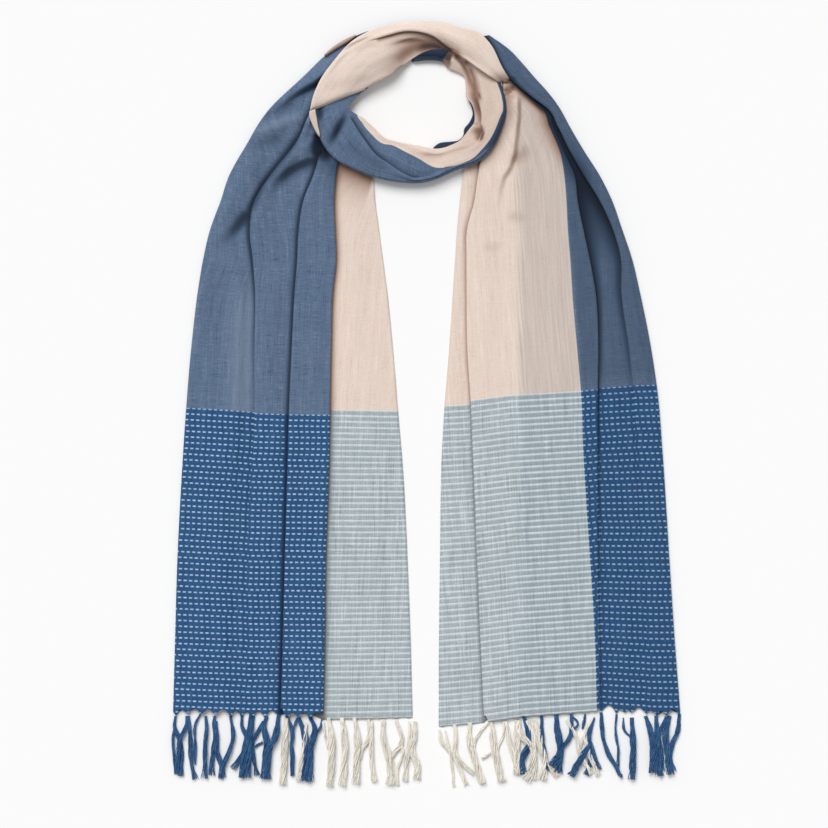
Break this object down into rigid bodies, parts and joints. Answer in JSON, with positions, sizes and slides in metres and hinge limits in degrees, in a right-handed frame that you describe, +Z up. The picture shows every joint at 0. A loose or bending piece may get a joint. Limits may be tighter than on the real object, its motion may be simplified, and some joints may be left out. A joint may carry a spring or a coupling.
{
  "type": "scarf",
  "caption": "Long handwoven scarf laid flat, wound once into a neck loop, with two pleated tails that end in knotted fringes.",
  "frame": {"origin": "on the surface that the scarf lies on, below the middle of its outline", "axes": "+Z up off the surface, +Y from the fringes to the neck loop, +X to the right seen from above"},
  "size_m": [0.558, 0.8441, 0.0229],
  "materials": {
    "left_tail_cloth": "matte plain-weave cotton, slate blue beside blush, with a navy and a grey end panel of running dashes",
    "right_tail_cloth": "matte plain-weave cotton, blush beside slate blue, with a grey and a navy end panel of running dashes",
    "neck_band_cloth": "matte plain-weave cotton, blush",
    "front_loop_cloth": "matte plain-weave cotton, slate blue beside blush",
    "blue_yarn": "matte loose cotton yarn, deep blue",
    "cream_yarn": "matte loose cotton yarn, cream"
  },
  "bodies": {
    "root": {"left_tail": "left_tail_cloth", "right_tail": "right_tail_cloth", "neck_band": "neck_band_cloth", "front_loop": "front_loop_cloth", "left_fringe_blue": "blue_yarn", "left_fringe_cream": "cream_yarn", "right_fringe_cream": "cream_yarn", "right_fringe_blue": "blue_yarn"}
  },
  "joints": []
}
